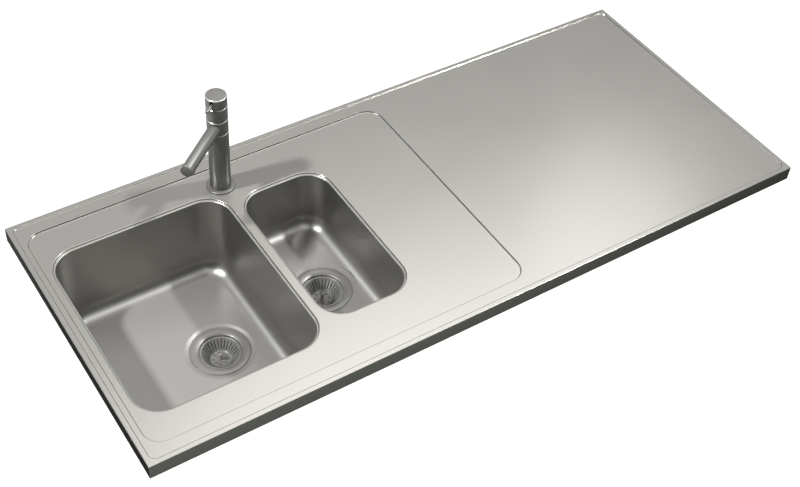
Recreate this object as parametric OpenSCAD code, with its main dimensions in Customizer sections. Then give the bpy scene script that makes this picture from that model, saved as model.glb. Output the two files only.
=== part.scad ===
// Stainless sink top for a base cabinet: a pressed worktop with one large and one small bowl,
// a mixer tap that swivels and a basket strainer waste in each bowl. Millimetres, +Z up.
// The origin is the centre of the underside, where the top rests on its cabinet.

/* [Worktop] */
// Length of the worktop
top_l = 1400; // [1340:10:1500]
// Depth of the worktop from front to back
top_w = 600; // [590:5:640]
// Height of the turned down edge
edge_h = 30; // [27:1:40]
// Thickness of the steel
sheet_t = 1; // [0.8:0.1:1.2]
// Width of the raised rim around the worktop
rim_w = 9.5; // [7:0.5:12]
// Step from the rim down to the work surface
rim_step = 1.5; // [1:0.25:2]
// Corner radius of the work surface
rim_corner_r = 13; // [8:1:20]
// Length of the recessed wet zone
zone_l = 747; // [735:1:760]
// Distance from the left edge to the wet zone
zone_left = 20; // [16:1:22]
// Distance from the front edge to the wet zone
zone_front = 34; // [28:1:36]
// Distance from the back edge to the wet zone
zone_back = 37; // [30:1:40]
// Step from the work surface down to the wet zone
zone_step = 2.5; // [1:0.25:3]
// Corner radius of the wet zone
zone_corner_r = 33; // [20:1:45]

/* [Bowls] */
// Length of the main bowl's opening
main_l = 341; // [330:1:345]
// Main bowl's floor below the wet zone
main_depth = 185; // [140:5:200]
// Corner radius of the main bowl
main_corner_r = 50; // [42:1:60]
// Distance from the wet zone's left edge to the main bowl's opening
bowls_left = 17; // [16:1:22]
// Distance from the wet zone's front edge to the main bowl's opening
bowls_front = 57.5; // [52:0.5:64]
// Distance from the wet zone's back edge to the main bowl's opening
bowls_back = 67.5; // [64:0.5:70]
// Distance from the main bowl's middle to its waste
main_drain_shift = 62; // [0:1:66]
// Steel left between the two openings
bowl_gap = 26; // [24:1:30]
// Length of the small bowl's opening
small_l = 173; // [163:1:180]
// How far the small bowl's opening stays behind the main one's at the front and the back
small_inset = 30; // [27:0.5:40]
// Small bowl's floor below the wet zone
small_depth = 137; // [110:1:150]
// Corner radius of the small bowl
small_corner_r = 48; // [42:1:55]
// Radius between a bowl's wall and its floor
floor_r = 32; // [20:1:34]
// Width of the rolled lip around an opening
lip_w = 10; // [8:0.5:11.5]
// Width of the ledge inside the lip
ledge_w = 4.5; // [3:0.5:6]
// Step from the wet zone down to the ledge
lip_step = 3; // [1.5:0.25:4]
// Radius from the ledge into the wall
lip_r = 2.5; // [1.5:0.25:3]
// Depth of the pressed seat around a waste
seat_d = 3; // [2:0.25:4]
// Radius of the seat's flat bottom
seat_in_r = 58; // [57.5:0.25:60]
// Radius of the seat's top edge
seat_out_r = 68; // [64:0.5:70]
// Radius of the hole for a waste
drain_hole_r = 45; // [44:0.5:46]

/* [Boards and pads] */
// Distance from the small bowl's opening to the drainer's board
board_gap = 28; // [22:1:40]
// Distance from the main bowl's opening to the front batten
front_batten_gap = 27.5; // [24:0.5:45]
// Distance from the main bowl's opening to the back batten
back_batten_gap = 16.5; // [14:0.5:40]
// Distance from the main bowl's opening to the left batten
left_batten_gap = 19; // [18:0.5:26]
// Radius of the room cut for the tap's fixing
tap_room_r = 36; // [32:1:40]
// Radius of the pilot holes for the cabinet's screws
pilot_r = 1.75; // [1.5:0.25:2]
// Depth of the pilot holes
pilot_depth = 18; // [12:1:20]
// Distance between pilot holes along the worktop
pilot_span_x = 1280; // [1200:10:1290]
// Distance between pilot holes from front to back
pilot_span_y = 540; // [520:5:550]
// Thickness of the sound deadening pads
pad_t = 2.5; // [1.5:0.5:4]
// Length of the main bowl's pad
main_pad_l = 104; // [60:2:108]
// Distance from the main bowl's pad to the radius round the floor
main_pad_edge = 35; // [20:1:60]
// Length of the small bowl's pads
small_pad_l = 88; // [60:2:100]
// Small bowl's pads from front to back
small_pad_w = 46; // [30:1:50]

/* [Wastes] */
// Radius of the flange
flange_r = 57; // [54:0.5:57]
// Thickness of the flange
flange_t = 1.2; // [1:0.1:1.5]
// Thickness of the rubber under the flange
seal_t = 1.2; // [1:0.1:1.5]
// Inner radius of the throat
throat_r = 40; // [39.5:0.1:40.2]
// Drop of the flange towards the throat
throat_drop = 2.4; // [1.5:0.1:3]
// Outer radius of the cup's thread
cup_r = 42; // [41.9:0.1:42.5]
// Depth of the ledge that carries the strainer
strainer_ledge_z = 8; // [7:0.5:9]
// Inner radius of that ledge
strainer_ledge_r = 36.5; // [36:0.25:37]
// Depth of the strainer's seat below the bowl's floor
seat_z = 29.3; // [28:0.1:31]
// Radius of the outlet
outlet_r = 19.5; // [17:0.5:19.5]
// Outer radius of the outlet's thread, one and a half inch
spigot_r = 23.9; // [23.5:0.1:24.2]
// Depth of the spigot's end below the bowl's floor
spigot_z = 58; // [54:1:64]
// Outer radius of the locknut
locknut_r = 54; // [50:1:55]
// Height of the locknut
locknut_h = 12; // [8:1:13]
// Outer radius of the tail pipe
tail_r = 20; // [19:0.5:20]
// Wall of the tail pipe
tail_wall = 1.8; // [1.2:0.1:2]
// Length of the tail pipe below its nut
tail_l = 48; // [40:1:60]
// Outer radius of the tail nut
tail_nut_r = 28.5; // [27.5:0.5:31]

/* [Strainers] */
// Outer radius of the strainer's rim
strainer_r = 38.8; // [38:0.1:39.2]
// Wall of the strainer
strainer_t = 1; // [0.8:0.1:1.2]
// Radius of the strainer's bottom
strainer_low_r = 20; // [18:0.5:20.5]
// Number of slots
slot_count = 30; // [24:2:32]
// Width of a slot
slot_w = 2; // [1.5:0.1:2.4]
// Number of holes in the bottom
hole_count = 8; // [6:1:10]
// Radius of a hole in the bottom
hole_r = 1.8; // [1.2:0.1:2.2]
// Radius of the knob's post
post_r = 3.6; // [3:0.1:4]
// Radius of the knob's domed top
knob_r = 5.5; // [5:0.25:7]
// Height of the knob above the strainer's bottom
knob_h = 18; // [14:0.5:22]

/* [Tap body] */
// Distance of the tap's axis to the right of the middle between the openings
tap_shift = 2.7; // [0:0.1:4]
// Distance from the wet zone's back edge to the tap's axis
tap_back = 49.4; // [48:0.1:51]
// Radius of the tap's column
tap_r = 20; // [19.5:0.1:20.5]
// Height of the fixed column above the worktop's rim
column_h = 136; // [120:0.5:180]
// Height of the swivelling collar
collar_h = 30.5; // [29.5:0.5:36]
// Height of the ring above the collar
housing_h = 30; // [29:0.5:34]
// Height of the handle's cap
cap_h = 22.5; // [22.5:0.5:26]
// Open seam between the tap's turning parts
seam = 0.4; // [0.3:0.05:0.6]
// Radius of the base ring
base_ring_r = 27.4; // [26:0.2:29]
// Height of the base ring
base_ring_h = 4; // [3.5:0.25:6]
// Radius of the neck inside the collar
neck_r = 15; // [14.5:0.1:15.2]
// Radius of the threaded shank below
shank_r = 16.5; // [16:0.1:16.5]
// Depth of the shank below the worktop's rim
shank_drop = 56; // [54:1:70]
// Radius of the inlets' thread, ten millimetres
inlet_r = 4.6; // [4.4:0.1:4.8]
// Depth of the inlets' thread
inlet_depth = 14; // [10:1:16]
// Distance between the two inlets
inlet_span = 13; // [12:0.5:14]
// Radius of the water ways
way_r = 3; // [2.5:0.1:3.1]
// Width of the nut across its flats
tap_nut_flats = 46; // [42:1:50]

/* [Spout] */
// Length of the spout from the tap's axis
spout_l = 142; // [120:0.5:180]
// Radius of the spout's tube
spout_r = 11.7; // [11:0.1:11.8]
// Wall of the spout's tube
spout_wall = 1.2; // [1:0.1:1.4]
// Rise of the spout in degrees
spout_rise = 2.5; // [0:0.5:3]
// Turn of the spout to the left of the front in degrees
spout_turn = 49.5; // [0:0.5:90]
// Height of the spout's axis above the foot of the collar
spout_up = 13.2; // [12.8:0.1:16]
// Thickness of the spout's end cap
end_cap_t = 3; // [2:0.25:4]
// Distance from the spout's end to its outlet
outlet_back = 16; // [14:0.5:24]
// Radius of the aerator
aerator_r = 8.5; // [7.5:0.25:9]

/* [Handle] */
// Radius of the lever pin
lever_r = 3.4; // [3:0.1:3.5]
// Turn of the lever to the left of the front in degrees
lever_turn = 52; // [0:1:90]
// Reach of the lever from the tap's axis
lever_l = 40; // [34:0.5:60]
// Lift of the lever in degrees
lever_lift = 15; // [10:1:15]

/* [Hidden] */
// Running clearance of turning pieces, clearance beside moving ones and small overlap for cuts
run = 0.05;
free = 0.3;
eps = 1;
$fn = 96;

// Heights of the pressed levels and of the tap's seams
work_z = edge_h - rim_step;
zone_z = work_z - zone_step;
column_z = edge_h + column_h;
collar_z = column_z + collar_h;
housing_z = collar_z + housing_h;
cap_z = housing_z + cap_h;

// Plan positions of the zone, the bowls and the tap, each from the one before
zone_w = top_w - zone_front - zone_back;
zone_x = -top_l / 2 + zone_left + zone_l / 2;
zone_y = -top_w / 2 + zone_front + zone_w / 2;
main_w = zone_w - bowls_front - bowls_back;
small_w = main_w - 2 * small_inset;
main_edge_x = -top_l / 2 + zone_left + bowls_left;
small_edge_x = main_edge_x + main_l + bowl_gap;
main_x = main_edge_x + main_l / 2;
small_x = small_edge_x + small_l / 2;
bowl_y = -top_w / 2 + zone_front + bowls_front + main_w / 2;
tap_x = small_edge_x - bowl_gap / 2 + tap_shift;
tap_y = top_w / 2 - zone_back - tap_back;

// Inner faces of the boards, and the width of the main pad
board_x = small_edge_x + small_l + board_gap;
front_batten_y = bowl_y - main_w / 2 - front_batten_gap;
back_batten_y = bowl_y + main_w / 2 + back_batten_gap;
left_batten_x = main_edge_x - left_batten_gap;
pad_gap = 4;
main_pad_w = main_w - 2 * floor_r - 2 * main_pad_edge;

// Each bowl as [middle x, length, width, depth, corner radius, waste's x]
BOWLS = [
    [main_x, main_l, main_w, main_depth, main_corner_r, main_x + main_drain_shift],
    [small_x, small_l, small_w, small_depth, small_corner_r, small_x]
];

// Levels inside a waste, below the bowl's floor
flange_low = seat_d - seal_t;
flange_top = flange_low - flange_t;
floor_low = seat_d + sheet_t;
washer_t = 3;
friction_t = 1;
locknut_top = floor_low + washer_t + friction_t;
tail_seal_t = 2;
tail_flange_t = 1.5;
tail_lip_t = 2;
tail_flange_z = spigot_z + tail_seal_t;
tail_nut_low = tail_flange_z + tail_flange_t + tail_lip_t;
strainer_rim_z = strainer_ledge_z - free;
bowl_seal_t = 2;
strainer_low_z = seat_z - free - bowl_seal_t;

// Small sizes of the wastes: cup, rubbers, nuts and their ribs
flange_bevel = 1;
throat_slope = 7;
cup_shoulder = 1.5;
cup_base = 2;
cup_foot = 8;
ledge_t = 3;
seat_margin = 4.5;
rubber_inset = 1;
washer_gap = 0.6;
locknut_flange_t = 3;
lug_count = 8;
lug_d = 3;
lug_w = 5;
tail_play = 0.5;
tail_nut_gap = 1;
tail_nut_grip = 13;
rib_count = 12;
rib_d = 1.5;
rib_w = 3;

// Small sizes of the strainers
rim_wall = 1.2;
slot_foot = 1.5;
slot_head = 3.5;
slot_top = 2;
hole_inset = 6;
bowl_seal_proud = 1.2;
knob_thread_r = post_r - 1;
knob_thread_l = 5;
knob_nut_r = 5.5;
knob_nut_h = 3;
knob_skirt = 2;

// Base ring, its seal, and what holds the tap from below
tap_hole_gap = 1;
shank_gap = 0.3;
base_groove_inset = 3;
base_groove_w = 3;
base_groove_d = 1.7;
base_seal_t = 1.6;
base_bevel = 1.5;
play = 0.1;
shank_rise = 20;
shank_top = zone_z + base_ring_h + shank_rise;
shank_low = edge_h - shank_drop;
washer_inset = 1;
tap_washer_t = 3;
clamp_t = 2.5;
tap_nut_h = 8;
clamp_top = zone_z - sheet_t - tap_washer_t;
tap_nut_top = clamp_top - clamp_t;

// Neck of the tap with its washers, grooves and water gallery
collar_in_r = neck_r + run;
neck_z = collar_z + 7;
swivel_washer_t = 0.7;
washer_proud = 0.3;
swivel_washer_in_r = neck_r + 0.3;
swivel_washer_out_r = neck_r + 3.8;
oring_r = 0.85;
groove_d = 1.8;
groove_h = 2.6;
GROOVES = [column_z + 4.5, collar_z - 4.4 - groove_h];
gallery_d = 2.5;
gallery_low = column_z + 9;
gallery_high = collar_z - 9;
port_back = 7;

// Cartridge and the stem that turns it
cartridge_r = 17.2;
housing_in_r = 17.5;
cartridge_low = neck_z + 0.5;
cartridge_top = cartridge_low + 14.5;
cartridge_nut_h = 5;
port_depth = 4;
port_seal_in = 0.2;
port_seal_out = 1.4;
stem_r = 8;
stem_gap = 1;
stem_low = cartridge_top - 8;
disc_z = housing_z + 1.2;
disc_t = 4.5;
disc_gap = 0.2;
screw_z = disc_z + disc_t / 2;
screw_r = 1.5;
screw_l = 6.4;
screw_inset = 0.4;

// Lever with its knuckle and pivot, and the cap around them
lever_z = housing_z + 11;
ear_t = 4;
ear_w = 9;
ear_rise = 5;
ear_gap = 0.2;
knuckle_r = 4.6;
knuckle_w = 7.2;
pivot_r = 1.5;
finger_r = 1.5;
finger_l = 10;
finger_room = 3;
thread_r = 1.8;
thread_from = 2.2;
neck_bevel = 0.8;
edge_bevel = 0.6;
cap_wall = 2;
cap_chamfer = 0.8;
slot_from = 10;

// Spout's axis, the socket in the collar, the end's plug and the aerator
spout_z = column_z + spout_up;
socket_r = 15.6;
socket_way_r = spout_r - 4;
plug_l = 3;
aerator_rise = 6;
aerator_proud = 1.2;
aerator_wall = 1.5;
mesh_drop = 0.5;
mesh_hole_r = 0.8;

// Flat rounded rectangle about the origin
module round_rect(length, width, radius) {
    square([length, width - 2 * radius], center = true);
    square([length - 2 * radius, width], center = true);
    for (sx = [-1, 1], sy = [-1, 1])
        translate([sx * (length / 2 - radius), sy * (width / 2 - radius)]) circle(r = radius);
}

// Ring or tube standing on z from low to high
module ring(outer, inner, low, high) {
    translate([0, 0, low]) difference() {
        cylinder(r = outer, h = high - low);
        translate([0, 0, -eps]) cylinder(r = inner, h = high - low + 2 * eps);
    }
}

// Rod along z from low to high
module rod(radius, low, high) {
    translate([0, 0, low]) cylinder(r = radius, h = high - low);
}

// Sweeps a section, drawn outwards from a corner's centre, round a rounded rectangle
module around(length, width, radius) {
    cx = length / 2 - radius;
    cy = width / 2 - radius;
    for (q = [0:3])
        translate([(q == 0 || q == 3) ? cx : -cx, (q < 2) ? cy : -cy, 0])
            rotate([0, 0, 90 * q]) rotate_extrude(angle = 90) children();
    for (turn = [0, 180]) {
        rotate([0, 0, turn]) translate([cx, 0, 0])
            rotate([90, 0, 0]) linear_extrude(2 * cy, center = true) children();
        rotate([0, 0, turn + 90]) translate([cy, 0, 0])
            rotate([90, 0, 0]) linear_extrude(2 * cx, center = true) children();
    }
}

// Section of a bowl's hollow, grown by the steel for its outer face; top is how far it rises
module hollow_section(depth, radius, grow, top) {
    wall = radius + grow;
    fillet = floor_r + grow;
    low = depth + grow;
    step = lip_step + grow;
    translate([0, fillet - low]) square([wall, low - fillet - step]);
    translate([0, -low]) square([wall - fillet, fillet]);
    translate([wall - fillet, fillet - low]) intersection() {
        circle(r = fillet);
        translate([0, -fillet]) square([fillet, fillet]);
    }
    difference() {
        translate([0, -lip_step - lip_r]) square([radius + lip_r, lip_r]);
        translate([radius + lip_r, -lip_step - lip_r]) circle(r = lip_r - grow);
    }
    translate([0, -step]) square([radius + ledge_w + grow, step + top]);
}

// Hollow of a bowl as a solid, grown by the steel for its outer face
module hollow(b, grow, top) {
    around(b[1], b[2], b[4]) hollow_section(b[3], b[4], grow, top);
    core_l = b[1] - 2 * b[4];
    core_w = b[2] - 2 * b[4];
    translate([-core_l / 2, -core_w / 2, -b[3] - grow]) cube([core_l, core_w, b[3] + grow + top]);
}

// Outline of the sheet's hole that a bowl's lip is welded into
module lip_outline(b) {
    round_rect(b[1] + 2 * lip_w, b[2] + 2 * lip_w, b[4] + lip_w);
}

// Outlines of the work surface and the wet zone, grown by the steel for the underside
module work_outline(grow) {
    round_rect(top_l - 2 * rim_w + 2 * grow, top_w - 2 * rim_w + 2 * grow, rim_corner_r + grow);
}
module zone_outline(grow) {
    translate([zone_x, zone_y]) round_rect(zone_l + 2 * grow, zone_w + 2 * grow, zone_corner_r + grow);
}

// Space under the pressed sheet, which the boards fill
module under_sheet() {
    inner = [top_l - 2 * sheet_t, top_w - 2 * sheet_t];
    translate([0, 0, -eps]) linear_extrude(zone_z - sheet_t + eps) square(inner, center = true);
    translate([0, 0, zone_z - sheet_t]) linear_extrude(zone_step) difference() {
        square(inner, center = true);
        zone_outline(sheet_t);
    }
    translate([0, 0, work_z - sheet_t]) linear_extrude(rim_step) difference() {
        square(inner, center = true);
        work_outline(sheet_t);
    }
}

// Pressed steel top with its turned down edges, the two steps and the holes for bowls and tap
module worktop_sheet() {
    color([0.72, 0.71, 0.69]) difference() {
        translate([-top_l / 2, -top_w / 2, 0]) cube([top_l, top_w, edge_h]);
        under_sheet();
        translate([0, 0, work_z]) linear_extrude(rim_step + eps) work_outline(0);
        translate([0, 0, zone_z]) linear_extrude(zone_step + eps) zone_outline(0);
        for (b = BOWLS)
            translate([b[0], bowl_y, zone_z - 2 * sheet_t]) linear_extrude(4 * sheet_t) lip_outline(b);
        translate([tap_x, tap_y, 0]) rod(shank_r + tap_hole_gap, zone_z - 2 * sheet_t, zone_z + eps);
    }
}

// How far the side of a seat rises into the floor's fillet, where a bowl is narrow
function seat_rise(b) =
    let (over = max(0, seat_out_r + floor_r + abs(b[5] - b[0]) - b[1] / 2))
    floor_r - sqrt(pow(floor_r, 2) - pow(min(over, floor_r), 2));

// Deep drawn bowl with its rolled lip and the pressed seat for its waste
module bowl(b) {
    drain = b[5] - b[0];
    color([0.66, 0.65, 0.63]) translate([b[0], bowl_y, zone_z]) difference() {
        union() {
            hollow(b, sheet_t, 0);
            translate([0, 0, -sheet_t]) linear_extrude(sheet_t) lip_outline(b);
            translate([drain, 0, -b[3] - seat_d - sheet_t])
                cylinder(r1 = seat_in_r + sheet_t, r2 = seat_out_r + sheet_t, h = seat_d + sheet_t / 2);
            translate([drain, 0, 0]) rod(seat_out_r + sheet_t, -b[3] - sheet_t, -b[3] + seat_rise(b));
        }
        hollow(b, 0, eps);
        translate([drain, 0, -b[3] - seat_d]) cylinder(r1 = seat_in_r, r2 = seat_out_r, h = seat_d);
        translate([drain, 0, 0]) rod(seat_out_r, -b[3], -b[3] + seat_rise(b) + eps);
        translate([drain, 0, 0]) rod(drain_hole_r, -b[3] - 4 * seat_d, -b[3] + seat_d);
    }
}

// Pilot holes for the screws that come up from the cabinet
module pilot_holes() {
    for (sx = [-1, 1], sy = [-1, 1])
        translate([sx * pilot_span_x / 2, sy * pilot_span_y / 2, 0]) rod(pilot_r, -eps, pilot_depth);
}

// Board or batten that fills the space under the sheet from one corner to the other
module backing(low, high) {
    color([0.76, 0.63, 0.44]) difference() {
        intersection() {
            under_sheet();
            translate([low[0], low[1], 0]) cube([high[0] - low[0], high[1] - low[1], edge_h]);
        }
        pilot_holes();
        translate([tap_x, tap_y, 0]) rod(tap_room_r, -eps, edge_h);
    }
}
inner_l = top_l / 2 - sheet_t;
inner_w = top_w / 2 - sheet_t;
module drainer_board() backing([board_x, -inner_w], [inner_l, inner_w]);
module front_batten() backing([-inner_l, -inner_w], [board_x, front_batten_y]);
module back_batten() backing([-inner_l, back_batten_y], [board_x, inner_w]);
module left_batten() backing([-inner_l, front_batten_y], [left_batten_x, back_batten_y]);

// Sound deadening pad stuck under a bowl's floor
module floor_pad(b, x, y, length, width) {
    low = zone_z - b[3] - sheet_t - pad_t;
    color([0.2, 0.2, 0.2]) translate([x - length / 2, y - width / 2, low]) cube([length, width, pad_t]);
}
module main_sound_pad() {
    b = BOWLS[0];
    floor_pad(b, b[5] - seat_out_r - sheet_t - pad_gap - main_pad_l / 2, bowl_y, main_pad_l, main_pad_w);
}
module small_sound_pads() {
    b = BOWLS[1];
    offset_y = seat_out_r + sheet_t + pad_gap + small_pad_w / 2;
    for (s = [-1, 1]) floor_pad(b, b[0], bowl_y + s * offset_y, small_pad_l, small_pad_w);
}

// Places a waste's piece at the middle of its hole, level with the bowl's floor
module at_drain(b) {
    translate([b[5], bowl_y, zone_z - b[3]]) children();
}

// Waste's cup: flange, throat, ledge and seat for the strainer, and the threaded outlet
module waste_cup(b) {
    color([0.75, 0.74, 0.72]) at_drain(b) rotate_extrude() polygon([
        [outlet_r, -spigot_z], [spigot_r, -spigot_z], [spigot_r, -seat_z - cup_foot],
        [cup_r, -seat_z + cup_base], [cup_r, -flange_low - cup_shoulder],
        [cup_r + cup_shoulder, -flange_low], [flange_r, -flange_low],
        [flange_r, -flange_top - flange_t / 3], [flange_r - flange_bevel, -flange_top],
        [throat_r + throat_slope, -flange_top], [throat_r, -flange_top - throat_drop],
        [throat_r, -strainer_ledge_z], [strainer_ledge_r, -strainer_ledge_z],
        [strainer_ledge_r, -strainer_ledge_z - ledge_t],
        [strainer_low_r + seat_margin, -seat_z], [outlet_r, -seat_z]
    ]);
}

// Rubber under the flange, rubber and fibre rings under the bowl, and the locknut
module waste_seal(b) {
    color([0.12, 0.12, 0.12]) at_drain(b)
        ring(flange_r - rubber_inset, drain_hole_r + rubber_inset, -seat_d, -flange_low);
}
module waste_washer(b) {
    color([0.12, 0.12, 0.12]) at_drain(b)
        ring(locknut_r, cup_r + washer_gap, -floor_low - washer_t, -floor_low);
}
module friction_ring(b) {
    color([0.55, 0.42, 0.3]) at_drain(b)
        ring(locknut_r, cup_r + washer_gap, -locknut_top, -floor_low - washer_t);
}
module locknut(b) {
    low = -locknut_top - locknut_h;
    color([0.88, 0.88, 0.86]) at_drain(b) {
        ring(locknut_r - lug_d, cup_r + run, low, -locknut_top);
        ring(locknut_r, cup_r + run, -locknut_top - locknut_flange_t, -locknut_top);
        for (k = [0:lug_count - 1])
            rotate([0, 0, 360 * k / lug_count]) translate([locknut_r - 2 * lug_d, -lug_w / 2, low])
                cube([2 * lug_d, lug_w, locknut_h - locknut_flange_t / 2]);
    }
}

// Tail pipe with its flange, seal and coupling nut, which take the trap
module tail_pipe(b) {
    color([0.88, 0.88, 0.86]) at_drain(b) {
        ring(tail_r, tail_r - tail_wall, -tail_nut_low - tail_l, -tail_flange_z);
        ring(spigot_r - tail_play, tail_r - tail_wall, -tail_flange_z - tail_flange_t, -tail_flange_z);
    }
}
module tail_seal(b) {
    color([0.12, 0.12, 0.12]) at_drain(b)
        ring(spigot_r - tail_play, tail_r - tail_wall, -tail_flange_z, -spigot_z);
}
module tail_nut(b) {
    grip_z = -spigot_z + tail_nut_grip;
    color([0.88, 0.88, 0.86]) at_drain(b) {
        ring(tail_nut_r - rib_d, spigot_r + run, -tail_nut_low + tail_lip_t, grip_z);
        ring(tail_nut_r - rib_d, tail_r + tail_nut_gap, -tail_nut_low, -tail_nut_low + tail_lip_t);
        for (k = [0:rib_count - 1])
            rotate([0, 0, 360 * k / rib_count])
                translate([tail_nut_r - 2 * rib_d, -rib_w / 2, -tail_nut_low + rib_d])
                    cube([2 * rib_d, rib_w, tail_nut_low + grip_z - 2 * rib_d]);
    }
}

// Strainer: rim, sloping side with its slots, and the bottom with its holes
module strainer(b) {
    side_r = strainer_ledge_r - free;
    rim_in = strainer_ledge_r - rim_wall;
    slot_l = strainer_ledge_r - slot_head - strainer_low_r - slot_foot;
    color([0.78, 0.77, 0.75]) at_drain(b) difference() {
        rotate_extrude() polygon([
            [0, -strainer_low_z], [strainer_low_r, -strainer_low_z],
            [side_r, -strainer_rim_z - strainer_t], [side_r, -strainer_rim_z],
            [strainer_r, -strainer_rim_z], [strainer_r, -strainer_rim_z + strainer_t],
            [rim_in, -strainer_rim_z + strainer_t], [rim_in, -strainer_rim_z - strainer_t],
            [strainer_low_r - strainer_t, -strainer_low_z + strainer_t],
            [0, -strainer_low_z + strainer_t]
        ]);
        for (k = [0:slot_count - 1])
            rotate([0, 0, 360 * k / slot_count])
                translate([strainer_low_r + slot_foot, -slot_w / 2, -strainer_low_z - eps])
                    cube([slot_l, slot_w, strainer_low_z - strainer_rim_z - slot_top]);
        for (k = [0:hole_count - 1])
            rotate([0, 0, 360 * (k + 0.5) / hole_count]) translate([strainer_low_r - hole_inset, 0, 0])
                rod(hole_r, -strainer_low_z - eps, -strainer_low_z + strainer_t + eps);
        rod(knob_thread_r, -strainer_low_z - eps, -strainer_low_z + strainer_t + eps);
    }
}

// Rubber under the strainer, which closes the outlet when the strainer is pushed home
module strainer_seal(b) {
    color([0.12, 0.12, 0.12]) at_drain(b)
        ring(strainer_low_r + bowl_seal_proud, knob_thread_r, -seat_z + free, -strainer_low_z);
}

// Knob with its post and threaded end, and the nut that holds it under the rubber
module strainer_knob(b) {
    base = -strainer_low_z + strainer_t;
    knob_z = base + knob_h - knob_r;
    color([0.8, 0.79, 0.77]) at_drain(b) {
        rod(knob_thread_r - run, -seat_z + free - knob_thread_l, base);
        rod(post_r, base, knob_z);
        translate([0, 0, knob_z]) intersection() {
            sphere(r = knob_r);
            rod(knob_r, -knob_skirt, knob_r);
        }
    }
}
module strainer_nut(b) {
    low = -seat_z + free - knob_nut_h;
    color([0.8, 0.79, 0.77]) at_drain(b) difference() {
        translate([0, 0, low]) cylinder(r = knob_nut_r, h = knob_nut_h, $fn = 6);
        rod(knob_thread_r, low - eps, low + knob_nut_h + eps);
    }
}

// Places a tap's piece on the tap's axis, and one on the side of the spout or of the lever
module at_tap() {
    translate([tap_x, tap_y, 0]) children();
}
module at_spout() {
    at_tap() rotate([0, 0, -90 - spout_turn]) children();
}
module at_lever() {
    at_tap() rotate([0, 0, -90 - lever_turn]) children();
}
module rod_x(radius, from, to) {
    translate([from, 0, 0]) rotate([0, 90, 0]) cylinder(r = radius, h = to - from);
}
module rod_y(radius, half) {
    rotate([90, 0, 0]) cylinder(r = radius, h = 2 * half, center = true);
}

// Base ring with a groove for its seal
groove_out_r = base_ring_r - base_groove_inset;
groove_in_r = groove_out_r - base_groove_w;
module tap_base_ring() {
    color("silver") at_tap() translate([0, 0, zone_z]) rotate_extrude() polygon([
        [shank_r + shank_gap, 0], [groove_in_r, 0], [groove_in_r, base_groove_d],
        [groove_out_r, base_groove_d], [groove_out_r, 0],
        [base_ring_r, 0], [base_ring_r, base_ring_h - base_bevel],
        [base_ring_r - base_bevel, base_ring_h], [shank_r + shank_gap, base_ring_h]
    ]);
}
module tap_base_seal() {
    color([0.12, 0.12, 0.12]) at_tap()
        ring(groove_out_r - play, groove_in_r + play, zone_z, zone_z + base_seal_t);
}

// Two water ways up to the cartridge, cut from the body and its shank
module inlet_ways(low, high) {
    for (s = [-1, 1]) translate([s * inlet_span / 2, 0, 0]) rod(way_r, low, high);
}

// Column of the tap with the neck that the collar turns on, and the way back to the spout
module tap_body() {
    low = zone_z + base_ring_h;
    gallery_mid = (gallery_low + gallery_high) / 2;
    color("silver") at_tap() difference() {
        union() {
            rod(tap_r, low, column_z);
            rod(neck_r, column_z - eps, neck_z);
        }
        ring(swivel_washer_out_r + play, swivel_washer_in_r - play,
            column_z + washer_proud - swivel_washer_t, column_z + eps);
        for (z = GROOVES) ring(neck_r + eps, neck_r - groove_d, z, z + groove_h);
        ring(neck_r + eps, neck_r - gallery_d, gallery_low, gallery_high);
        rod(shank_r + run, low - eps, shank_top);
        inlet_ways(shank_top - eps, neck_z + eps);
        translate([0, port_back, gallery_mid]) rod(way_r, 0, neck_z + eps - gallery_mid);
        translate([0, port_back, gallery_mid]) rotate([-90, 0, 0]) cylinder(r = way_r, h = neck_r);
    }
}

// Threaded shank through the worktop, with the two hose inlets in its end
module tap_shank() {
    color([0.8, 0.66, 0.35]) at_tap() difference() {
        rod(shank_r, shank_low, shank_top);
        inlet_ways(shank_low - eps, shank_top + eps);
        for (s = [-1, 1])
            translate([s * inlet_span / 2, 0, 0]) rod(inlet_r, shank_low - eps, shank_low + inlet_depth);
    }
}
module tap_rubber_washer() {
    color([0.12, 0.12, 0.12]) at_tap()
        ring(base_ring_r - washer_inset, shank_r + shank_gap, clamp_top, clamp_top + tap_washer_t);
}
module tap_clamp_plate() {
    color([0.7, 0.7, 0.7]) at_tap()
        ring(base_ring_r - washer_inset, shank_r + shank_gap, tap_nut_top, clamp_top);
}
module tap_nut() {
    low = tap_nut_top - tap_nut_h;
    color([0.8, 0.66, 0.35]) at_tap() difference() {
        translate([0, 0, low]) cylinder(r = tap_nut_flats / 2 / cos(30), h = tap_nut_h, $fn = 6);
        rod(shank_r + run, low - eps, tap_nut_top + eps);
    }
}

// Low friction rings above and below the collar, and the two seals on the neck
module swivel_washers() {
    color([0.95, 0.95, 0.93]) at_tap()
        for (low = [column_z + washer_proud - swivel_washer_t, collar_z + seam - washer_proud])
            ring(swivel_washer_out_r, swivel_washer_in_r, low, low + swivel_washer_t);
}
module swivel_orings() {
    color([0.12, 0.12, 0.12]) at_tap() for (z = GROOVES)
        translate([0, 0, z + groove_h / 2])
            rotate_extrude() translate([neck_r - play - oring_r, 0]) circle(r = oring_r);
}

// Spout's own direction: along +X from the tap's axis, rising
module along_spout() {
    at_spout() translate([0, 0, spout_z]) rotate([0, -spout_rise, 0]) children();
}

// Collar that swivels on the neck, with the socket for the tube
module spout_collar() {
    color("silver") difference() {
        at_tap() ring(tap_r, collar_in_r, column_z + seam, collar_z);
        difference() {
            along_spout() rod_x(spout_r + run, 0, 2 * tap_r);
            at_tap() rod(socket_r, column_z, collar_z + eps);
        }
        along_spout() rod_x(socket_way_r, 0, 2 * tap_r);
    }
}

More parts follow.
